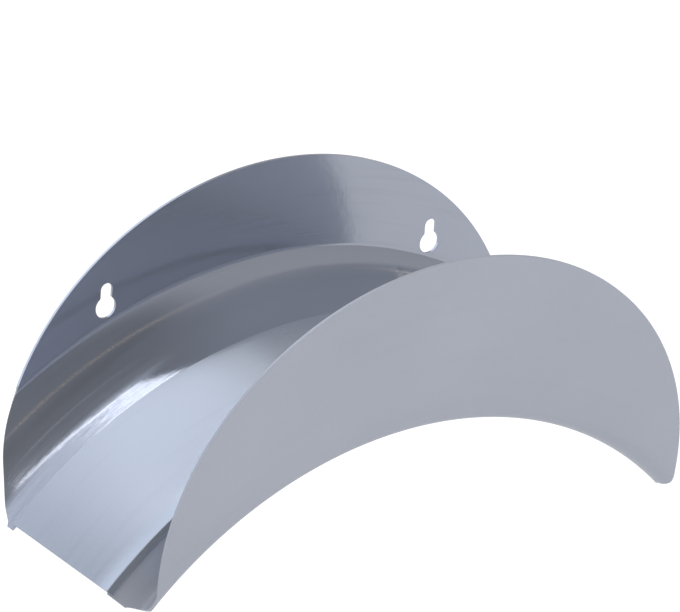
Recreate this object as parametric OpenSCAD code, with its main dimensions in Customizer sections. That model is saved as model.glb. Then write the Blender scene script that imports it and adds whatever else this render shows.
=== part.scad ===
// Wall holder: three pressed sheet-steel pieces, spot welded and painted.
// An arched saddle joins a half-moon wall plate to a flared front plate.
// The arch axis runs straight out from the wall, and every section is turned about it.
// Origin: on the wall face, midway between the keyholes' entry holes. +Z up, the wall at +Y.

/* [Sheet] */
// Thickness of the steel sheet
sheet_t = 1.2; // [0.8:0.1:1.6]

/* [Saddle] */
// Radius of the saddle's top face about the arch axis, at its front edge
arch_r = 184.5; // [174:0.5:195]
// Slope of the saddle down towards the front
slope_angle = 8; // [5:0.5:10]
// How far each end of the saddle stands out past the side of the front plate
end_past = 12.2; // [8:0.1:18]
// Distance from the wall to the saddle's rear edge, seen as a seam
seam_y = 38.5; // [37:0.5:44]
// How far the saddle's front margin bends down over the ridge
ridge_wrap_angle = 44; // [20:1:50]

/* [Wall plate] */
// Width of the wall plate beside each keyhole, from the keyhole's centre to the outline's side
key_side = 45.4; // [43:0.1:50]
// Height of the wall plate's top above the saddle's front edge
back_rise = 61; // [57:0.1:65]
// Height of the round outline above its own middle, a little less than half its width
back_h = 110.7; // [106:0.1:118]
// Height of the oval fillet that turns the plate into its flange, inside
back_fillet_h = 13; // [9:0.5:13.5]
// Depth of that fillet, out from the plate
back_fillet_d = 35; // [24:0.5:36]
// How far the wall plate's flange laps under the saddle
back_lap = 8; // [4:0.5:14]
// Angle above level at which the flange's edge leaves the outline
back_tail_angle = 15; // [10:1:24]

/* [Keyholes] */
// Distance between the two keyholes
key_spacing = 157.4; // [140:0.2:165]
// Height of the entry holes above the saddle's front edge, halfway across
key_rise = 11.5; // [11:0.1:15]
// Width of the keyhole's slot
key_slot_w = 5.4; // [4:0.1:6.5]
// Diameter of the keyhole's entry hole
key_entry_d = 9.4; // [8:0.1:11]
// Height of the seated screw above the entry hole
key_seat_rise = 7.5; // [6:0.1:9]

/* [Front plate] */
// Half the width of the front plate's outline
front_r = 124.3; // [120:0.1:129]
// Height of that outline above its own middle
front_h = 111.7; // [106:0.1:118]
// Height of the front plate's outline above the saddle's front edge
front_rise = 62.3; // [58:0.1:67]
// Lean of the front plate away from the wall
front_flare_angle = 6.5; // [3:0.1:12]
// Radius of the rounded horn tips
horn_r = 4.2; // [3:0.1:6]

/* [Gutter] */
// Distance from the wall to the middle of the gutter's roll
gutter_y = 107.6; // [100:0.1:118]
// Inside radius of the gutter's roll
gutter_r = 6.5; // [5:0.1:8]
// Depth of the gutter floor below the saddle's front edge
gutter_depth = 10.1; // [8:0.1:14]
// Angle of the bank between the ridge and the gutter
bank_angle = 50; // [40:1:60]
// Radius of the front flange over the ridge
ridge_r = 3; // [2:0.1:5]
// How far the front plate's flange laps under the flat of the saddle
front_lap = 8; // [4:0.5:14]
// How far the flanges' ends stand out past the saddle's ends
flange_past = 0.6; // [0.2:0.1:2]

/* [Hidden] */
$fn = 180;
// length by which a cutting or limiting shape passes what it cuts
overrun = 5;

// ---- levels measured from the arch axis
flange_top_r = arch_r - sheet_t;
floor_r = arch_r - gutter_depth;
roll_low_r = floor_r - sheet_t;
key_z = arch_r + key_rise;
plate_reach_r = arch_r + max(back_rise, front_rise) + overrun;

// ---- the two plates' outlines: [half width, height] and the middle, above the arch axis.
// The wall plate's goes round the keyholes.
back_size = [key_spacing / 2 + key_side, back_h];
front_size = [front_r, front_h];
back_mid = [0, arch_r + back_rise - back_h];
front_mid = [0, arch_r + front_rise - front_h];

// ---- bend centres, each written as [distance from the arch axis, distance from the wall]
gutter_c = [floor_r + gutter_r, gutter_y];
ridge_c_r = flange_top_r - ridge_r;
ridge_y = gutter_y - (ridge_r + gutter_r - (gutter_c[0] - ridge_c_r) * cos(bank_angle)) / sin(bank_angle);
ridge_c = [ridge_c_r, ridge_y];

// ---- the fillet's oval, which runs into the slope of the saddle's underside
fillet_size = [back_fillet_h, back_fillet_d];
fillet_reach = norm([back_fillet_h * cos(slope_angle), back_fillet_d * sin(slope_angle)]);
fillet_c_y = sheet_t + back_fillet_d;
fillet_c = [strip_r(sheet_t, fillet_c_y) + fillet_reach / cos(slope_angle), fillet_c_y];
fillet_end_angle = 180 + atan(back_fillet_d * tan(slope_angle) / back_fillet_h);

// ---- ends of the saddle and of the flanges, as angles above level
arch_half_angle = asin((front_r + end_past) / arch_r);
saddle_end_angle = 90 - arch_half_angle;
flange_end_angle = saddle_end_angle - atan(flange_past / arch_r);

// ---- the rounded horn tip: it touches the outline from inside, and its centre lies just outside the roll
horn_bite_share = 0.5;
horn_to_axis = roll_low_r + horn_bite_share * horn_r;
search_steps = 30;
horn_angle = horn_search(-60, 90, search_steps);
horn_c = horn_at(horn_angle);
horn_out = oval_normal(front_size, horn_angle);
horn_out_angle = atan2(horn_out[1], horn_out[0]);
horn_in_angle = atan2(horn_c[1], horn_c[0]) - 180;

// steps in which the bends and the outlines are drawn
bend_steps = 18;
outline_steps = 96;
gutter_steps = 24;

// distance from the arch axis to the level that lies a depth below the saddle's sloping top
function strip_r(depth, y) = ridge_c_r + (ridge_r + sheet_t - depth) / cos(slope_angle)
    + (ridge_y - y) * tan(slope_angle);
// a direction in the plane of a section or an outline, and points along an arc there
function dir(a) = [cos(a), sin(a)];
function arc_points(c, r, a0, a1, n) = [for (i = [0 : n]) c + r * dir(a0 + (a1 - a0) * i / n)];
// points along an oval of the given half width and height, and the direction square to it there
function oval_point(c, size, a) = c + [size[0] * cos(a), size[1] * sin(a)];
function oval_points(c, size, a0, a1, n) = [for (i = [0 : n]) oval_point(c, size, a0 + (a1 - a0) * i / n)];
function oval_normal(size, a) = [cos(a) / size[0], sin(a) / size[1]] / norm([cos(a) / size[0], sin(a) / size[1]]);
// centre of a horn that touches the front outline at an angle, and the angle that suits the roll
function horn_at(a) = oval_point(front_mid, front_size, a) - horn_r * oval_normal(front_size, a);
function horn_search(low, high, n) = n == 0 ? low
    : norm(horn_at((low + high) / 2)) > horn_to_axis ? horn_search(low, (low + high) / 2, n - 1)
    : horn_search((low + high) / 2, high, n - 1);
// the same outline seen in a mirror, in the opposite order
function mirrored(pts) = [for (i = [len(pts) - 1 : -1 : 0]) [-pts[i][0], pts[i][1]]];

// ---- turns a section about the arch axis, to the same angle on each side of the top
module turned(half_angle) {
    rotate([0, 0, 90 - half_angle]) rotate_extrude(angle = 2 * half_angle) children();
}

// ---- moves a shape built about the arch axis, with the wall at its foot, to the holder's own frame
module in_place() {
    translate([0, 0, -key_z]) rotate([90, 0, 0]) children();
}

// ---- straight prism over an outline, between two distances from the wall
module prism(y0, y1) {
    translate([0, 0, y0]) linear_extrude(height = y1 - y0) children();
}

// ---- wall plate, its fillet and the flange that goes under the saddle,
// drawn with the distance from the arch axis across and the distance from the wall up
module back_section() {
    flange_end_y = seam_y + back_lap;
    inside = oval_points(fillet_c, fillet_size, 270, fillet_end_angle, bend_steps);
    outside = [for (i = [bend_steps : -1 : 0])
        inside[i] + sheet_t * oval_normal(fillet_size, 270 + (fillet_end_angle - 270) * i / bend_steps)];
    polygon(concat(
        [[plate_reach_r, sheet_t]], inside,
        [[strip_r(sheet_t, flange_end_y), flange_end_y], [strip_r(2 * sheet_t, flange_end_y), flange_end_y]],
        outside, [[plate_reach_r, 0]]));
}

// the half moon, and below it the two tails that follow the flange out to the saddle's ends
module back_outline() {
    leave = oval_point(back_mid, back_size, back_tail_angle);
    corner = (strip_r(sheet_t, seam_y) + flange_past) * dir(flange_end_angle);
    outer = corner + overrun * (corner - leave) / norm(corner - leave);
    polygon(concat([[0, 0], outer],
        oval_points(back_mid, back_size, back_tail_angle, 180 - back_tail_angle, outline_steps),
        [[-outer[0], outer[1]]]));
}

// an entry hole for the screw's head, and above it the slot that the screw hangs in
module keyhole() {
    height = sheet_t + 2 * overrun;
    translate([0, 0, -overrun]) cylinder(d = key_entry_d, h = height);
    translate([0, 0, -overrun]) linear_extrude(height = height)
        polygon(concat([[-key_slot_w / 2, 0], [key_slot_w / 2, 0]],
            arc_points([0, key_seat_rise], key_slot_w / 2, 0, 180, bend_steps)));
}

module back_plate() {
    color([0.60, 0.63, 0.70]) in_place() difference() {
        intersection() {
            turned(90 - flange_end_angle) back_section();
            prism(-overrun, seam_y + back_lap + overrun) back_outline();
        }
        for (s = [-1, 1]) translate([s * key_spacing / 2, key_z, 0]) keyhole();
    }
}

// ---- saddle: the arched strip, with its front margin bent down over the ridge
module saddle_section() {
    polygon(concat(
        [[strip_r(0, seam_y), seam_y]],
        arc_points(ridge_c, ridge_r + sheet_t, slope_angle, ridge_wrap_angle, bend_steps),
        arc_points(ridge_c, ridge_r, ridge_wrap_angle, slope_angle, bend_steps),
        [[strip_r(sheet_t, seam_y), seam_y]]));
}

module saddle() {
    color([0.70, 0.74, 0.80]) in_place() turned(arch_half_angle) saddle_section();
}

// ---- front plate: flange, ridge, bank, gutter roll and flared face
module front_section() {
    flange_start_y = ridge_y - front_lap;
    face = dir(90 + front_flare_angle);
    top = gutter_c + (plate_reach_r - gutter_c[0]) * dir(front_flare_angle);
    polygon(concat(
        [[strip_r(2 * sheet_t, flange_start_y), flange_start_y],
         [strip_r(sheet_t, flange_start_y), flange_start_y]],
        arc_points(ridge_c, ridge_r, slope_angle, bank_angle, bend_steps),
        arc_points(gutter_c, gutter_r, 180 + bank_angle, 90 + front_flare_angle, gutter_steps),
        [top + gutter_r * face, top + (gutter_r + sheet_t) * face],
        arc_points(gutter_c, gutter_r + sheet_t, 90 + front_flare_angle, 180 + bank_angle, gutter_steps),
        arc_points(ridge_c, ridge_r - sheet_t, bank_angle, slope_angle, bend_steps)));
}

// outline of the flared face, with its horns rounded
module front_outline() {
    past_angle = 25;
    half = concat(
        oval_points(front_mid, front_size, 90, horn_angle, outline_steps / 2),
        arc_points(horn_c, horn_r, horn_out_angle, horn_in_angle - past_angle, bend_steps));
    polygon(concat(half, [[0, 0]], mirrored(half)));
}

// plan of the gutter and flange: its corners slant from the horns back past the saddle's ends
module flange_plan() {
    corner = [flange_top_r * cos(flange_end_angle) + flange_past, ridge_y + sheet_t];
    tip = [horn_c[0] + horn_r * cos(horn_in_angle + 90), gutter_y + 2 * sheet_t];
    outer = corner + overrun * (corner - tip) / norm(corner - tip);
    half = [[outer[0], ridge_y - front_lap - overrun], outer, tip];
    polygon(concat(half, mirrored(half)));
}

module front_plate() {
    reach_y = gutter_y + plate_reach_r * tan(front_flare_angle);
    color([0.65, 0.68, 0.73]) in_place() intersection() {
        turned(90 - flange_end_angle) front_section();
        union() {
            prism(gutter_y, reach_y) front_outline();
            translate([0, plate_reach_r, 0]) rotate([90, 0, 0]) linear_extrude(height = plate_reach_r) flange_plan();
        }
    }
}

back_plate();
saddle();
front_plate();
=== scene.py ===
import math

import bmesh
import bpy
from mathutils import Matrix, Vector


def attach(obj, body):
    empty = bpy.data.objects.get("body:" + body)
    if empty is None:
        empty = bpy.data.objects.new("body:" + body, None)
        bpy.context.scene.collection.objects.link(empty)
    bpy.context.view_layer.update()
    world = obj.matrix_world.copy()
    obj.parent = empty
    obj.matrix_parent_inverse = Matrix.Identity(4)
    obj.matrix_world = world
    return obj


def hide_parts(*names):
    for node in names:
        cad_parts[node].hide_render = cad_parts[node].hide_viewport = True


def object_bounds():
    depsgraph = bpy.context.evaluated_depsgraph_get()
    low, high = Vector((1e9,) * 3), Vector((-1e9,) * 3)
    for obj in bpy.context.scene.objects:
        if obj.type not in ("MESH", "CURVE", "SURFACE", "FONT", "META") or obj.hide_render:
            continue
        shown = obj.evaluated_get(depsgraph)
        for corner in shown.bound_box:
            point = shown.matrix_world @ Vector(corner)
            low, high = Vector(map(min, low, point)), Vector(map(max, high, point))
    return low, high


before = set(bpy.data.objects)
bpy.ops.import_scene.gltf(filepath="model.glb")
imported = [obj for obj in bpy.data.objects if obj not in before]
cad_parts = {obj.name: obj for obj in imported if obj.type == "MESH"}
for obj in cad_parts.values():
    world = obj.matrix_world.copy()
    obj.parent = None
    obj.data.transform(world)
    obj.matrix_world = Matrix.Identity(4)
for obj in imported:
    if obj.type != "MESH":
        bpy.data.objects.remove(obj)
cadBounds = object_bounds()
scene = bpy.context.scene
print("frame loaded")

# every section is drawn as [distance from the arch axis, distance from the wall]
sheet = {
    "thickness": 0.0012,
    "archRadius": 0.1845,      # top face of the saddle's front edge about the arch axis
    "slope": 8,                # degrees that the saddle falls towards the front
    "keyRise": 0.0115,         # entry holes above the saddle's front edge
    "flangePast": 0.0006,      # flange corners past the strip's ends, and laps as far inside them
    "edgeRound": 0.00028,      # paint rounds every cut edge a little
    "edgeSteps": 3,
    "edgeAngle": 40,           # degrees above which an edge counts as cut
    "smoothAngle": 35,
    "mergeGap": 0.000004,      # corners nearer than this become one
    "columns": 180,            # steps round the arch
    "searchTurn": 60,          # degrees from the top, past the end of every outline
    "searchSteps": 50,
}
flangeTop = sheet["archRadius"] - sheet["thickness"]
keyZ = sheet["archRadius"] + sheet["keyRise"]
slope = math.radians(sheet["slope"])
slopeNormal = (math.cos(slope), math.sin(slope))


# points and unit normals along an arc, the normal pointing out (side 1) or in (side -1)
def arcRun(centre, radius, fromDeg, toDeg, steps, side):
    run = []
    for i in range(steps + 1):
        a = math.radians(fromDeg + (toDeg - fromDeg) * i / steps)
        c, s = math.cos(a), math.sin(a)
        run.append((centre[0] + radius * c, centre[1] + radius * s, side * c, side * s))
    return run


# the same along an oval of the given half sizes, the normal pointing in
def ovalRun(centre, size, fromDeg, toDeg, steps):
    run = []
    for i in range(steps + 1):
        a = math.radians(fromDeg + (toDeg - fromDeg) * i / steps)
        c, s = math.cos(a), math.sin(a)
        normal = Vector((-c / size[0], -s / size[1])).normalized()
        run.append((centre[0] + size[0] * c, centre[1] + size[1] * s, *normal))
    return run


# straight run between two points with one normal, its ends left out
def straightRun(start, end, normal, steps):
    run = []
    for i in range(1, steps):
        t = i / steps
        run.append((start[0] + (end[0] - start[0]) * t, start[1] + (end[1] - start[1]) * t,
                    normal[0], normal[1]))
    return run


def onArch(r, v, turn):
    return Vector((r * math.sin(turn), -v, r * math.cos(turn) - keyZ))


# an oval outline about a centre on the middle line, met along a ray from the arch axis
def outlineRadius(midRise, size, turn):
    up, side = math.cos(turn) / size[1], math.sin(turn) / size[0]
    rise = midRise / size[1]
    long = up * up + side * side
    return (rise * up + math.sqrt(max(long - (rise * side) ** 2, 0))) / long


# the turn at which such an outline has the given distance from the arch axis
def turnWhere(midRise, size, radius):
    low, high = 0.0, math.radians(sheet["searchTurn"])
    for _ in range(sheet["searchSteps"]):
        mid = (low + high) / 2
        if outlineRadius(midRise, size, mid) > radius:
            low = mid
        else:
            high = mid
    return low


# turns a section point into a row of the grid, [r, v, normal r, normal v, turn]
def spread(point, endTurn, leftTurn=None):
    steps = sheet["columns"]
    left = endTurn if leftTurn is None else leftTurn
    shares = [2 * j / steps - 1 for j in range(steps + 1)]
    return [(*point, share * (endTurn if share > 0 else left)) for share in shares]


# rows from the last bend of a plate up to its round outline, along one straight lean
def plateRows(lastRow, start, midRise, size, lean, steps):
    r, v, nr, nv = start
    rows = []
    for k in range(1, steps + 1):
        share = k / steps
        row = []
        for point in lastRow:
            turn = point[4]
            reach = max(outlineRadius(midRise, size, turn) - r, 0)
            row.append((r + reach * share, v + reach * share * lean, nr, nv, turn))
        rows.append(row)
    return rows


# rows become a closed sheet of the given thickness, whose rim has the second material
def sheetMesh(name, rows, thickness):
    bm = bmesh.new()
    across = len(rows[0])
    skins = []
    for depth in (0, thickness):
        skin = []
        for row in rows:
            skin.append([bm.verts.new(onArch(r - nr * depth, v - nv * depth, turn))
                         for r, v, nr, nv, turn in row])
        skins.append(skin)
    top, low = skins
    last = len(rows) - 1
    for i in range(last):
        for j in range(across - 1):
            bm.faces.new((top[i][j], top[i][j + 1], top[i + 1][j + 1], top[i + 1][j]))
            bm.faces.new((low[i][j], low[i + 1][j], low[i + 1][j + 1], low[i][j + 1]))
    rim = [(i, 0) for i in range(last)] + [(last, j) for j in range(across - 1)]
    rim += [(i, across - 1) for i in range(last, 0, -1)] + [(0, j) for j in range(across - 1, 0, -1)]
    for (i, j), (k, m) in zip(rim, rim[1:] + rim[:1]):
        bm.faces.new((top[i][j], top[k][m], low[k][m], low[i][j])).material_index = 1
    bmesh.ops.remove_doubles(bm, verts=bm.verts, dist=sheet["mergeGap"])
    bmesh.ops.dissolve_degenerate(bm, dist=sheet["mergeGap"] / 2, edges=bm.edges)
    bmesh.ops.recalc_face_normals(bm, faces=bm.faces)
    return meshObject(name, bm)


def meshObject(name, bm):
    mesh = bpy.data.meshes.new(name)
    bm.to_mesh(mesh)
    bm.free()
    piece = bpy.data.objects.new(name, mesh)
    scene.collection.objects.link(piece)
    return piece


# rounds the cut edges and keeps the pressed faces smooth
def finishSheet(piece, node):
    bevel = piece.modifiers.new("paintedEdge", "BEVEL")
    bevel.width = sheet["edgeRound"]
    bevel.segments = sheet["edgeSteps"]
    bevel.limit_method = "ANGLE"
    bevel.angle_limit = math.radians(sheet["edgeAngle"])
    bevel.harden_normals = True
    for polygon in piece.data.polygons:
        polygon.use_smooth = True
    piece.data.set_sharp_from_angle(angle=math.radians(sheet["smoothAngle"]))
    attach(piece, "root")
    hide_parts(node)
    print("piece", piece.name, len(piece.data.polygons), "faces")


# the ridge and the gutter belong to the front plate, and the saddle's front margin lies over them
frontPlate = {
    "size": (0.1247, 0.1117),  # half the width, and the height above the oval's middle
    "rise": 0.0623,            # top above the saddle, before the lean
    "flare": 6.5,              # degrees that the face leans out
    "gutterY": 0.1076,
    "gutterRadius": 0.0065,
    "gutterDepth": 0.0105,
    "rollSteps": 40,
    "bank": 57,                # degrees of the slope from the ridge down to the gutter
    "ridgeRadius": 0.003,
    "ridgeSteps": 14,
    "hollow": (4, 0.12),       # degrees and radius of the shallow hollow just before the ridge
    "hollowSteps": 12,
    "lap": 0.008,              # how far the flange goes back under the saddle
    "flatSteps": 4,
    "faceSteps": 26,
    "hornRadius": 0.003,
    "hornBite": 0.8,           # share of its radius from the roll's underside up to its centre
    "tongueFrom": 0.1022,      # the left end of the gutter is drawn in between these two
    "tongueTo": 0.110,
    "tongueDraw": 1.45,        # degrees
    "tongueBend": 0.6,         # below 1 draws it in quickly at first
}
floorRadius = sheet["archRadius"] - frontPlate["gutterDepth"]
gutterMid = (floorRadius + frontPlate["gutterRadius"], frontPlate["gutterY"])
bankTurn = math.radians(frontPlate["bank"])
hollowTurn, hollowRadius = math.radians(frontPlate["hollow"][0]), frontPlate["hollow"][1]
hollowReach = hollowRadius + frontPlate["ridgeRadius"] + sheet["thickness"]
hollowSink = hollowReach * (1 - math.cos(hollowTurn)) / math.cos(slope)
ridgeR = flangeTop - frontPlate["ridgeRadius"] + hollowSink
bendsReach = frontPlate["ridgeRadius"] + frontPlate["gutterRadius"]
ridgeY = gutterMid[1] - (bendsReach - (gutterMid[0] - ridgeR) * math.cos(bankTurn)) / math.sin(bankTurn)
ridgeMid = (ridgeR, ridgeY)
ridgeFrom = sheet["slope"] - frontPlate["hollow"][0]
hollowMid = (ridgeR + hollowReach * math.cos(slope - hollowTurn),
             ridgeY + hollowReach * math.sin(slope - hollowTurn))


# distance from the arch axis to the level a depth below the saddle's sloping top
def stripR(depth, v):
    return hollowMid[0] - (hollowRadius + depth) / math.cos(slope) + (hollowMid[1] - v) * math.tan(slope)


# the hollow before the ridge, at a depth below the saddle's top
def hollowRun(depth):
    steps = frontPlate["hollowSteps"]
    return arcRun(hollowMid, hollowRadius + depth, 180 + sheet["slope"], 180 + ridgeFrom, steps, -1)


saddle = {
    "seam": 0.0385,            # rear edge from the wall
    "endPast": 0.0110,         # past the side of the front plate
    "ridgeWrap": 50,           # degrees that the front margin bends down
    "ridgeSteps": 16,
    "flatSteps": 24,
}
saddleTurn = math.asin((frontPlate["size"][0] + saddle["endPast"]) / sheet["archRadius"])
flangeTurn = saddleTurn + math.atan(sheet["flangePast"] / sheet["archRadius"])


def makeSaddle():
    t = sheet["thickness"]
    seam = saddle["seam"]
    bend = (frontPlate["ridgeRadius"] + t, ridgeFrom, saddle["ridgeWrap"], saddle["ridgeSteps"], 1)
    ridge = hollowRun(0) + arcRun(ridgeMid, *bend)[1:]
    rear = (stripR(0, seam), seam)
    section = [(*rear, *slopeNormal)]
    section += straightRun(rear, ridge[0][:2], slopeNormal, saddle["flatSteps"])
    section += ridge
    rows = [spread(point, saddleTurn) for point in section]
    finishSheet(sheetMesh("saddleStrip", rows, t), "saddle")


def makeFrontPlate():
    t = sheet["thickness"]
    past = sheet["flangePast"]
    size = frontPlate["size"]
    bank, flare = frontPlate["bank"], frontPlate["flare"]
    steps = frontPlate["flatSteps"]
    frontMid = sheet["archRadius"] + frontPlate["rise"] - size[1]
    startY = ridgeY - frontPlate["lap"]
    start = (stripR(t, startY), startY)
    ridge = hollowRun(t)
    ridge += arcRun(ridgeMid, frontPlate["ridgeRadius"], ridgeFrom, bank, frontPlate["ridgeSteps"], 1)[1:]
    roll = arcRun(gutterMid, frontPlate["gutterRadius"], 180 + bank, 90 + flare, frontPlate["rollSteps"], -1)
    section = [(*start, *slopeNormal)]
    section += straightRun(start, ridge[0][:2], slopeNormal, steps)
    section += ridge
    section += straightRun(ridge[-1][:2], roll[0][:2], ridge[-1][2:], steps)
    section += roll
    # the horn: a small circle that touches the face's outline just above the roll
    horn = frontPlate["hornRadius"]
    hornReach = floorRadius - t + frontPlate["hornBite"] * horn
    within = (size[0] - horn, size[1] - horn)
    hornTurn = turnWhere(frontMid, within, hornReach)
    hornMid = Vector((math.sin(hornTurn), math.cos(hornTurn))) * hornReach
    outward = Vector((hornMid.x / within[0] ** 2, (hornMid.y - frontMid) / within[1] ** 2)).normalized()
    touchR = (hornMid + outward * horn).length

    # where the horn's round outline ends at this distance from the arch axis
    def hornEdge(low):
        if low > touchR:
            return turnWhere(frontMid, size, low)
        lean = (low ** 2 + hornReach ** 2 - horn ** 2) / (2 * low * hornReach)
        return hornTurn + math.acos(min(lean, 1))

    faceTurn = turnWhere(frontMid, size, roll[-1][0])
    cornerX = flangeTop * math.sin(flangeTurn) + past
    cornerY = ridgeY + t
    tipX = floorRadius * math.sin(hornEdge(floorRadius - t))
    tongueFrom, tongueTo = frontPlate["tongueFrom"], frontPlate["tongueTo"]
    draw = math.radians(frontPlate["tongueDraw"])
    rows = []
    for r, v, nr, nv in section:
        slant = min(max(0, (v - cornerY) / (gutterMid[1] - cornerY)), 1)
        endX = cornerX + (tipX - cornerX) * slant
        endTurn = flangeTurn if slant == 0 else math.asin(endX / r)
        if v < ridgeY:
            endTurn = saddleTurn - past / r
        if v > gutterMid[1]:
            endTurn = hornEdge(r - nr * t)
        # the left tongue keeps its width further, then rounds into the horn
        along = max(0, v - tongueFrom) / (tongueTo - tongueFrom)
        leftTurn = flangeTurn - draw * min(along, 1) ** frontPlate["tongueBend"]
        if v < ridgeY:
            leftTurn = endTurn
        if along > 1:
            turned = (v - tongueTo) / (roll[-1][1] - tongueTo)
            leftTurn += (faceTurn - leftTurn) * turned ** 2
        rows.append(spread((r, v, nr, nv), endTurn, leftTurn))
    rows[-1] = spread(roll[-1], faceTurn)
    lean = math.tan(math.radians(flare))
    rows += plateRows(rows[-1], roll[-1], frontMid, size, lean, frontPlate["faceSteps"])
    finishSheet(sheetMesh("frontPlateSheet", rows, t), "front_plate")


backPlate = {
    "size": (0.1241, 0.1107),  # half the width, and the height above the oval's middle
    "rise": 0.061,             # top above the saddle
    "fillet": (0.013, 0.035),  # height and depth of the oval fillet
    "filletSteps": 60,
    "runOut": ((2.5, 0.25), (5, 0.06)),  # degrees and radius of the flatter arcs at its foot
    "runOutSteps": 16,
    "lap": 0.008,              # how far the flange goes forward under the saddle
    "lapSteps": 5,
    "footSteps": 6,
    "tail": 17.2,              # degrees above level at which the straight cut leaves the oval
    "nub": (0.0019, 0.0035),   # how far the flange's corner shows past the strip, and its width
    "nubRows": (-0.3, -0.8),   # rows across it, as shares of its width
    "seamRows": (0.0004, -0.0001),  # rows close to the strip's edge, under it and beside it
    "plateSteps": 16,
    "keySpacing": 0.1574,
    "keySlot": 0.0054,
    "keyEntry": 0.0094,
    "keySeat": 0.0075,         # from the entry hole's middle up to the slot's
    "keySteps": (40, 16),      # round the entry hole and round the slot's end
    "keyReach": 0.004,         # the cutter goes this far each side of the wall face
    "holeFacing": 0.3,         # a hole's own walls face the room less than this
}


# a keyhole's solid, for cutting
def keyholeCutter(x):
    bm = bmesh.new()
    half = backPlate["keySlot"] / 2
    entry = backPlate["keyEntry"] / 2
    meet = math.asin(half / entry)
    roundEntry, roundSlot = backPlate["keySteps"]
    reach = backPlate["keyReach"]
    outline = []
    for i in range(roundEntry + 1):
        a = math.pi / 2 - meet - (2 * math.pi - 2 * meet) * i / roundEntry
        outline.append((entry * math.cos(a), entry * math.sin(a)))
    for i in range(roundSlot + 1):
        a = math.pi - math.pi * i / roundSlot
        outline.append((half * math.cos(a), backPlate["keySeat"] + half * math.sin(a)))
    ring = [bm.verts.new((x + px, -reach, pz)) for px, pz in outline]
    face = bm.faces.new(ring)
    grown = bmesh.ops.extrude_face_region(bm, geom=[face])
    moved = [v for v in grown["geom"] if isinstance(v, bmesh.types.BMVert)]
    bmesh.ops.translate(bm, vec=(0, 2 * reach, 0), verts=moved)
    bmesh.ops.recalc_face_normals(bm, faces=bm.faces)
    return meshObject("keyholeCutter", bm)


# cuts both keyholes and gives their walls the cut edge's material
def cutKeyholes(piece):
    cutters = [keyholeCutter(side * backPlate["keySpacing"] / 2) for side in (-1, 1)]
    for cutter in cutters:
        cut = piece.modifiers.new("keyhole", "BOOLEAN")
        cut.object = cutter
        cut.operation = "DIFFERENCE"
        cut.solver = "EXACT"
    bpy.context.view_layer.update()
    done = bpy.data.meshes.new_from_object(piece.evaluated_get(bpy.context.evaluated_depsgraph_get()))
    piece.modifiers.clear()
    piece.data = done
    for cutter in cutters:
        bpy.data.objects.remove(cutter)
    for polygon in done.polygons:
        inHole = abs(abs(polygon.center.x) - backPlate["keySpacing"] / 2) < backPlate["keyEntry"]
        nearLevel = abs(polygon.center.z) < 2 * backPlate["keyEntry"]
        facesSideways = abs(polygon.normal.y) < backPlate["holeFacing"]
        if inHole and nearLevel and facesSideways:
            polygon.material_index = 1


def makeBackPlate():
    t = sheet["thickness"]
    size = backPlate["size"]
    height, depth = backPlate["fillet"]
    seam, lap = saddle["seam"], backPlate["lap"]
    backMid = sheet["archRadius"] + backPlate["rise"] - size[1]
    # from the wall: a tight oval, then flatter and flatter arcs down to the flange's slope
    steep = slope + math.radians(sum(angle for angle, radius in backPlate["runOut"]))
    meetAngle = math.degrees(math.atan(depth * math.tan(steep) / height))
    turnIn = ovalRun((0, t + depth), (height, depth), 180 + meetAngle, 270, backPlate["filletSteps"])
    for angle, radius in backPlate["runOut"]:
        r, v = turnIn[0][:2]
        flatter = steep - math.radians(angle)
        mid = (r + radius * math.cos(steep), v + radius * math.sin(steep))
        ends = (180 + math.degrees(flatter), 180 + math.degrees(steep))
        turnIn = arcRun(mid, radius, *ends, backPlate["runOutSteps"], -1)[:-1] + turnIn
        steep = flatter
    drop = stripR(t, turnIn[0][1]) - turnIn[0][0]
    turnIn = [(r + drop, v, nr, nv) for r, v, nr, nv in turnIn]
    # the flange, its rows crowded where its corner steps out past the strip
    past, run = backPlate["nub"]
    end, atSeam, foot = ((stripR(t, v), v) for v in (seam + lap, seam, seam - run))
    section = [(*end, *slopeNormal)]
    section += straightRun(end, atSeam, slopeNormal, backPlate["lapSteps"])
    crowded = backPlate["seamRows"] + tuple(run * share for share in backPlate["nubRows"])
    section += [(stripR(t, seam + y), seam + y, *slopeNormal) for y in crowded]
    section += straightRun(foot, turnIn[0][:2], slopeNormal, backPlate["footSteps"])
    section += turnIn
    # the tail: a straight cut from the round outline to the flange's end
    tail = math.radians(backPlate["tail"])
    leave = Vector((size[0] * math.cos(tail), backMid + size[1] * math.sin(tail)))
    corner = Vector((math.sin(saddleTurn), math.cos(saddleTurn))) * (stripR(t, seam) + sheet["flangePast"])
    along = corner - leave
    rows = []
    for r, v, nr, nv in section:
        # where the cut line meets this distance from the arch axis
        a, b, c = along.length_squared, 2 * leave.dot(along), leave.length_squared - r * r
        cut = leave + along * (-b - math.sqrt(max(b * b - 4 * a * c, 0))) / (2 * a)
        endTurn = min(saddleTurn, math.atan2(cut.x, cut.y))
        if r > leave.length:
            endTurn = turnWhere(backMid, size, r)
        if seam - run < v < seam:
            endTurn = saddleTurn + past / r
        elif v >= seam:
            endTurn = saddleTurn - past / r
        rows.append(spread((r, v, nr, nv), endTurn))
    rows += plateRows(rows[-1], turnIn[-1], backMid, size, 0, backPlate["plateSteps"])
    piece = sheetMesh("wallPlateSheet", rows, t)
    cutKeyholes(piece)
    finishSheet(piece, "back_plate")


makeSaddle()
makeFrontPlate()
makeBackPlate()
print("sheets made")


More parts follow.
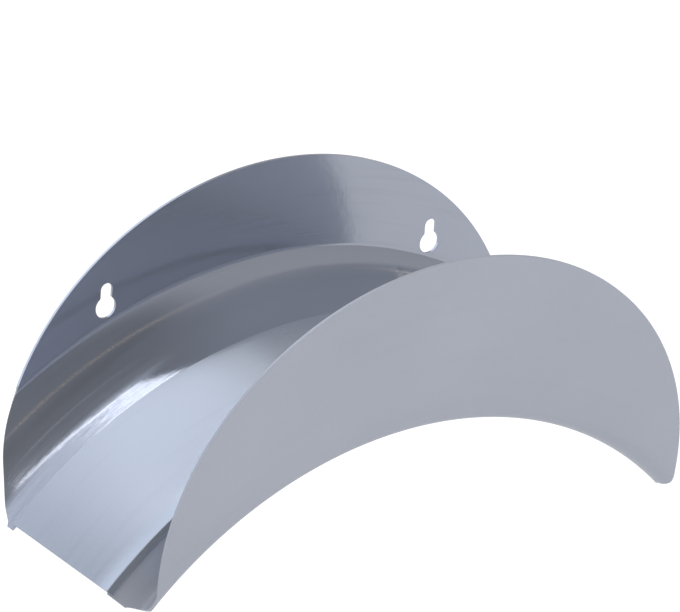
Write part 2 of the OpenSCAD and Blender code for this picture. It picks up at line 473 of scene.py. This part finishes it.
# an empty shader group with its named sockets
def newGroup(name, inputs, outputs):
    group = bpy.data.node_groups.new(name, "ShaderNodeTree")
    for label, value in inputs:
        socket = group.interface.new_socket(label, in_out="INPUT", socket_type="NodeSocketFloat")
        socket.default_value = value
    for label in outputs:
        group.interface.new_socket(label, in_out="OUTPUT", socket_type="NodeSocketFloat")
    return group, group.nodes.new("NodeGroupInput"), group.nodes.new("NodeGroupOutput")


def placeGroup(tree, group, values):
    node = tree.nodes.new("ShaderNodeGroup")
    node.node_tree = group
    for label, value in values.items():
        node.inputs[label].default_value = value
    return node


def mathNode(tree, operation, first, second=None, third=None):
    node = tree.nodes.new("ShaderNodeMath")
    node.operation = operation
    for socket, value in zip(node.inputs, (first, second, third)):
        if isinstance(value, bpy.types.NodeSocket):
            tree.links.new(value, socket)
        elif value is not None:
            socket.default_value = value
    return node.outputs[0]


# smooth step from 0 to 1 between two values
def stepNode(tree, value, low, high):
    node = tree.nodes.new("ShaderNodeMapRange")
    node.interpolation_type = "SMOOTHSTEP"
    tree.links.new(value, node.inputs["Value"])
    for socket, edge in (("From Min", low), ("From Max", high)):
        if isinstance(edge, bpy.types.NodeSocket):
            tree.links.new(edge, node.inputs[socket])
        else:
            node.inputs[socket].default_value = edge
    return node.outputs["Result"]


def noiseNode(tree, vector, scale, detail):
    node = tree.nodes.new("ShaderNodeTexNoise")
    tree.links.new(vector, node.inputs["Vector"])
    tree.links.new(scale, node.inputs["Scale"])
    node.inputs["Detail"].default_value = detail
    return node.outputs["Fac"]


# where a point lies about the arch: turn in radians, distance from the axis, distance from the wall
def makeArchPlaces():
    tree, given, result = newGroup("archPlaces", (("Axis Drop", keyZ),), ("Turn", "Radius", "Depth"))
    coords = tree.nodes.new("ShaderNodeTexCoord")
    split = tree.nodes.new("ShaderNodeSeparateXYZ")
    tree.links.new(coords.outputs["Object"], split.inputs[0])
    up = mathNode(tree, "ADD", split.outputs["Z"], given.outputs["Axis Drop"])
    across = mathNode(tree, "MULTIPLY", split.outputs["X"], split.outputs["X"])
    long = mathNode(tree, "MULTIPLY_ADD", up, up, across)
    tree.links.new(mathNode(tree, "ARCTAN2", split.outputs["X"], up), result.inputs["Turn"])
    tree.links.new(mathNode(tree, "SQRT", long), result.inputs["Radius"])
    tree.links.new(mathNode(tree, "MULTIPLY", split.outputs["Y"], -1), result.inputs["Depth"])
    return tree


# fine lines that the press draws into the sheet along the arch
def makeDrawnLines():
    inputs = (("Lines Per Metre", 600), ("Breaks", 3), ("Low", 0.5), ("High", 0.75))
    tree, given, result = newGroup("drawnLines", inputs, ("Lines", "Height"))
    places = placeGroup(tree, archPlaces, {})
    joined = tree.nodes.new("ShaderNodeCombineXYZ")
    perMetre = given.outputs["Lines Per Metre"]
    breaks = given.outputs["Breaks"]
    tree.links.new(mathNode(tree, "MULTIPLY", places.outputs["Turn"], breaks), joined.inputs["X"])
    tree.links.new(mathNode(tree, "MULTIPLY", places.outputs["Radius"], perMetre), joined.inputs["Y"])
    tree.links.new(mathNode(tree, "MULTIPLY", places.outputs["Depth"], perMetre), joined.inputs["Z"])
    noise = tree.nodes.new("ShaderNodeTexNoise")
    noise.inputs["Scale"].default_value = 1
    noise.inputs["Detail"].default_value = 3
    tree.links.new(joined.outputs[0], noise.inputs["Vector"])
    lines = stepNode(tree, noise.outputs["Fac"], given.outputs["Low"], given.outputs["High"])
    tree.links.new(lines, result.inputs["Lines"])
    tree.links.new(noise.outputs["Fac"], result.inputs["Height"])
    return tree


# one band of painted colour at a set distance from the wall, fading out along the arch and broken up by a
# fine grain; it paints reflection lines on the wall plate's fillet and a band of shade along the front
# plate's roll
def makePaintedLightBand():
    inputs = (("From Wall", 0.009), ("Half Width", 0.001), ("Turn From", 0.1), ("Turn To", 0.7),
              ("Fade In", 0.2), ("Fade Out", 0.15), ("Grain", 2600), ("Grain Low", 0.2), ("Grain High", 0.75))
    tree, given, result = newGroup("paintedLightBand", inputs, ("Mask",))
    places = placeGroup(tree, archPlaces, {})
    turnFrom, turnTo = given.outputs["Turn From"], given.outputs["Turn To"]
    away = mathNode(tree, "SUBTRACT", places.outputs["Depth"], given.outputs["From Wall"])
    off = mathNode(tree, "DIVIDE", mathNode(tree, "ABSOLUTE", away), given.outputs["Half Width"])
    band = mathNode(tree, "SUBTRACT", 1, stepNode(tree, off, 0.1, 1))
    turn = mathNode(tree, "ABSOLUTE", places.outputs["Turn"])
    grown = stepNode(tree, turn, turnFrom, mathNode(tree, "ADD", turnFrom, given.outputs["Fade In"]))
    last = mathNode(tree, "SUBTRACT", turnTo, given.outputs["Fade Out"])
    gone = mathNode(tree, "SUBTRACT", 1, stepNode(tree, turn, last, turnTo))
    coords = tree.nodes.new("ShaderNodeTexCoord")
    grain = noiseNode(tree, coords.outputs["Object"], given.outputs["Grain"], 2)
    rough = stepNode(tree, grain, given.outputs["Grain Low"], given.outputs["Grain High"])
    shown = mathNode(tree, "MULTIPLY", mathNode(tree, "MULTIPLY", grown, gone), band)
    tree.links.new(mathNode(tree, "MULTIPLY", shown, rough), result.inputs["Mask"])
    return tree


# the skin of sprayed enamel: orange peel, metal flakes, and slow clouds of tone
def makePaintSkin():
    inputs = (("Peel Scale", 350), ("Flake Scale", 2500), ("Cloud Scale", 14))
    tree, given, result = newGroup("paintSkin", inputs, ("Peel", "Flakes", "Clouds"))
    coords = tree.nodes.new("ShaderNodeTexCoord")
    layers = (("Peel Scale", "Peel", 2), ("Flake Scale", "Flakes", 1), ("Cloud Scale", "Clouds", 3))
    for scale, label, detail in layers:
        fac = noiseNode(tree, coords.outputs["Object"], given.outputs[scale], detail)
        tree.links.new(mathNode(tree, "SUBTRACT", fac, 0.5), result.inputs[label])
    return tree


archPlaces = makeArchPlaces()
drawnLines = makeDrawnLines()
paintedLightBand = makePaintedLightBand()
paintSkin = makePaintSkin()

enamel = {
    "flakeTone": 0.10,         # how much flakes and clouds change the tone
    "cloudTone": 0.16,
    "cloudGloss": 0.12,
    "peelHeight": 0.35,
    "bumpDistance": 0.00006,
    # the painted reflection lines and the painted shade band are also made this much rougher
    "paintedBandDullness": 0.3,
    "edgeRoughness": 0.4,      # the cut edges, where the coat is thin
    "edgeMetallic": 0.3,
}
wallPlateEnamel = {
    "metallic": 0.75,
    "colour": (0.44, 0.47, 0.55),
    # painted highlight: the wall plate's cut edges are made pale and warm, as where they catch the light
    "edgeHighlightAndShade": (0.86, 0.79, 0.70),
    "roughness": 0.13,
    "lineTone": 0.05,
    "lineHeight": 0.3,
    "linesPerMetre": 520,
    "paintedLightBands": (
        # painted reflections on the fillet, a bronze line and a pale streak: from the wall, half width, turn
        # from and to, colour, strength
        (0.0088, 0.0012, 0.15, 0.78, (0.84, 0.76, 0.70), 0.7),
        (0.0200, 0.0007, 0.30, 0.78, (0.80, 0.82, 0.86), 0.3),
    ),
}
saddleEnamel = {
    "metallic": 0.72,
    "colour": (0.45, 0.49, 0.57),
    # painted shade: the saddle's cut ends, which face down and away from the light, are made darker than its
    # face
    "edgeHighlightAndShade": (0.30, 0.32, 0.38),
    "roughness": 0.24,
    "lineTone": 0.04,
    "lineHeight": 0.15,
    "linesPerMetre": 260,
    "paintedLightBands": (),
}
frontPlateEnamel = {
    "metallic": 0.3,
    "colour": (0.43, 0.455, 0.53),
    # painted highlight: the front plate's cut edge is made near white
    "edgeHighlightAndShade": (0.9, 0.9, 0.9),
    "roughness": 0.36,
    "lineTone": 0.015,
    "lineHeight": 0.05,
    "linesPerMetre": 160,
    # painted shade: a faint darker band along the roll, all the way round
    "paintedLightBands": ((0.1135, 0.0035, -1, 2, (0.36, 0.39, 0.46), 0.35),),
}


def enamelMaterial(name, paint, colour, roughness, metallic):
    material = bpy.data.materials.new(name)
    material.use_nodes = True
    tree = material.node_tree
    shader = tree.nodes["Principled BSDF"]
    shader.inputs["Metallic"].default_value = metallic
    skin = placeGroup(tree, paintSkin, {})
    lines = placeGroup(tree, drawnLines, {"Lines Per Metre": paint["linesPerMetre"]})
    # tone of the paint
    flakes = mathNode(tree, "MULTIPLY_ADD", skin.outputs["Flakes"], enamel["flakeTone"], 1)
    clouds = mathNode(tree, "MULTIPLY_ADD", skin.outputs["Clouds"], enamel["cloudTone"], flakes)
    tone = mathNode(tree, "MULTIPLY_ADD", lines.outputs["Lines"], -paint["lineTone"], clouds)
    toned = tree.nodes.new("ShaderNodeVectorMath")
    toned.operation = "SCALE"
    toned.inputs[0].default_value = colour
    tree.links.new(tone, toned.inputs["Scale"])
    shown = toned.outputs[0]
    gloss = mathNode(tree, "MULTIPLY_ADD", skin.outputs["Clouds"], enamel["cloudGloss"], roughness)
    # painted reflection lines and the painted shade band have their own colour and are duller
    for place, width, turnFrom, turnTo, paintedBandColour, strength in paint["paintedLightBands"]:
        values = {"From Wall": place, "Half Width": width, "Turn From": turnFrom, "Turn To": turnTo}
        paintedBand = placeGroup(tree, paintedLightBand, values)
        share = mathNode(tree, "MULTIPLY", paintedBand.outputs["Mask"], strength)
        mix = tree.nodes.new("ShaderNodeMix")
        mix.data_type = "RGBA"
        tree.links.new(share, mix.inputs["Factor"])
        tree.links.new(shown, mix.inputs["A"])
        mix.inputs["B"].default_value = (*paintedBandColour, 1)
        shown = mix.outputs["Result"]
        gloss = mathNode(tree, "MULTIPLY_ADD", share, enamel["paintedBandDullness"], gloss)
    tree.links.new(shown, shader.inputs["Base Color"])
    tree.links.new(gloss, shader.inputs["Roughness"])
    height = mathNode(tree, "MULTIPLY", skin.outputs["Peel"], enamel["peelHeight"])
    height = mathNode(tree, "MULTIPLY_ADD", lines.outputs["Height"], paint["lineHeight"], height)
    bump = tree.nodes.new("ShaderNodeBump")
    bump.inputs["Strength"].default_value = 1
    bump.inputs["Distance"].default_value = enamel["bumpDistance"]
    tree.links.new(height, bump.inputs["Height"])
    tree.links.new(bump.outputs["Normal"], shader.inputs["Normal"])
    return material


finishes = {
    "wallPlateSheet": wallPlateEnamel,
    "saddleStrip": saddleEnamel,
    "frontPlateSheet": frontPlateEnamel,
}
for pieceName, paint in finishes.items():
    faces = (paint["colour"], paint["roughness"], paint["metallic"])
    # the cut edges take their own colour: a painted highlight on the two plates, painted shade on the saddle
    edges = (paint["edgeHighlightAndShade"], enamel["edgeRoughness"], enamel["edgeMetallic"])
    slots = bpy.data.objects[pieceName].data.materials
    slots.clear()
    slots.append(enamelMaterial(pieceName + "Enamel", paint, *faces))
    slots.append(enamelMaterial(pieceName + "CutEdge", paint, *edges))
print("materials made")

studio = {
    "floorDrop": 0.16,         # floor below the lowest edge
    "floorSize": 12,
    "floorColour": (0.9, 0.9, 0.9, 1),
    "floorRoughness": 0.9,
    "floorLift": 0.25,         # what the camera alone sees added, to bring the floor up to white
    "worldStrength": 0.95,
    # the room in reflections, from in front (-1) over the top (0) to behind
    "roomLevels": ((-1, 0.14), (0, 0.12), (0.3, 0.05), (0.42, 0.12), (0.5, 0.5), (0.56, 0.93),
                   (0.64, 1.5)),
    "roomTint": (0.94, 1, 1.1),
    "dimFrom": (0.0, 0.38),    # how far to the right the bright part ends
    "dimLevel": 0.46,          # the even level beyond
    "stripPlace": (-0.35, 0.78, 1.2),
    "stripAim": (-0.31, -0.05, 0),
    "stripSize": (1.6, 0.05),
    "stripPower": 0.8,
}


def makeFloor():
    z = cadBounds[0][2] - studio["floorDrop"]
    half = studio["floorSize"] / 2
    corners = [(-half, -half, z), (half, -half, z), (half, half, z), (-half, half, z)]
    mesh = bpy.data.meshes.new("paleFloor")
    mesh.from_pydata(corners, [], [(0, 1, 2, 3)])
    floor = bpy.data.objects.new("paleFloor", mesh)
    scene.collection.objects.link(floor)
    material = bpy.data.materials.new("paleFloor")
    material.use_nodes = True
    tree = material.node_tree
    shader = tree.nodes["Principled BSDF"]
    shader.inputs["Base Color"].default_value = studio["floorColour"]
    shader.inputs["Roughness"].default_value = studio["floorRoughness"]
    rays = tree.nodes.new("ShaderNodeLightPath")
    lift = mathNode(tree, "MULTIPLY", rays.outputs["Is Camera Ray"], studio["floorLift"])
    shader.inputs["Emission Color"].default_value = (1, 1, 1, 1)
    tree.links.new(lift, shader.inputs["Emission Strength"])
    mesh.materials.append(material)


# a long narrow lamp behind the holder, which draws the bright line along the seam
def makeRearStrip():
    light = bpy.data.lights.new("rearStrip", "AREA")
    light.shape = "RECTANGLE"
    light.size, light.size_y = studio["stripSize"]
    light.energy = studio["stripPower"]
    lamp = bpy.data.objects.new("rearStrip", light)
    scene.collection.objects.link(lamp)
    place = Vector(studio["stripPlace"])
    turned = (Vector(studio["stripAim"]) - place).to_track_quat("-Z", "Y").to_matrix().to_4x4()
    lamp.matrix_world = Matrix.Translation(place) @ turned


def makeWorld():
    world = bpy.data.worlds.new("studio")
    scene.world = world
    world.use_nodes = True
    nodes, links = world.node_tree.nodes, world.node_tree.links
    background = nodes["Background"]
    rays = nodes.new("ShaderNodeLightPath")
    direction = nodes.new("ShaderNodeTexCoord")
    parts = nodes.new("ShaderNodeSeparateXYZ")
    links.new(direction.outputs["Generated"], parts.inputs[0])
    # the room in reflections: dark in front and overhead, bright behind, dim again to the right
    depth = nodes.new("ShaderNodeMapRange")
    depth.inputs["From Min"].default_value = -1
    links.new(parts.outputs["Y"], depth.inputs["Value"])
    room = nodes.new("ShaderNodeValToRGB")
    room.color_ramp.interpolation = "EASE"
    stops = room.color_ramp.elements
    while len(stops) < len(studio["roomLevels"]):
        stops.new(0.5)
    for stop, (place, level) in zip(stops, studio["roomLevels"]):
        stop.position = (place + 1) / 2
        stop.color = (*(level * part for part in studio["roomTint"]), 1)
    links.new(depth.outputs["Result"], room.inputs["Fac"])
    aside = stepNode(world.node_tree, parts.outputs["X"], *studio["dimFrom"])

    def blend(share, first, second):
        node = nodes.new("ShaderNodeMix")
        node.data_type = "RGBA"
        links.new(share, node.inputs["Factor"])
        for label, value in (("A", first), ("B", second)):
            if isinstance(value, bpy.types.NodeSocket):
                links.new(value, node.inputs[label])
            else:
                node.inputs[label].default_value = (value, value, value, 1)
        return node.outputs["Result"]

    # diffuse light stays even, reflections see the room, the camera sees white
    dimmed = blend(aside, room.outputs["Color"], studio["dimLevel"])
    lit = blend(rays.outputs["Is Glossy Ray"], studio["worldStrength"], dimmed)
    links.new(blend(rays.outputs["Is Camera Ray"], lit, 1), background.inputs["Color"])


makeFloor()
makeWorld()
makeRearStrip()
print("studio made")

# camera: the photograph's own viewpoint
view = {
    "target": (0.012745, -0.032203, -0.004506),
    "turn": 36.629,            # degrees round from straight ahead
    "rise": 22.419,            # degrees above level
    "roll": 4.149,
    "distance": 2.31996,
    "lens": 308.21,            # for a 36 mm wide frame
}


def makeCamera():
    turn, rise, roll = (math.radians(view[key]) for key in ("turn", "rise", "roll"))
    back = Vector((-math.sin(turn) * math.cos(rise), -math.cos(turn) * math.cos(rise), math.sin(rise)))
    level = (-back).cross(Vector((0, 0, 1))).normalized()
    upright = level.cross(-back)
    right = level * math.cos(roll) + upright * math.sin(roll)
    up = upright * math.cos(roll) - level * math.sin(roll)
    place = Vector(view["target"]) + back * view["distance"]
    camera = bpy.data.cameras.new("camera")
    camera.lens = view["lens"]
    camera.sensor_width = 36
    camera.sensor_fit = "HORIZONTAL"
    holder = bpy.data.objects.new("camera", camera)
    scene.collection.objects.link(holder)
    turned = Matrix((right, up, back)).transposed()
    holder.matrix_world = Matrix.Translation(place) @ turned.to_4x4()
    scene.camera = holder


makeCamera()
scene.view_settings.view_transform = "Standard"
print("camera set")
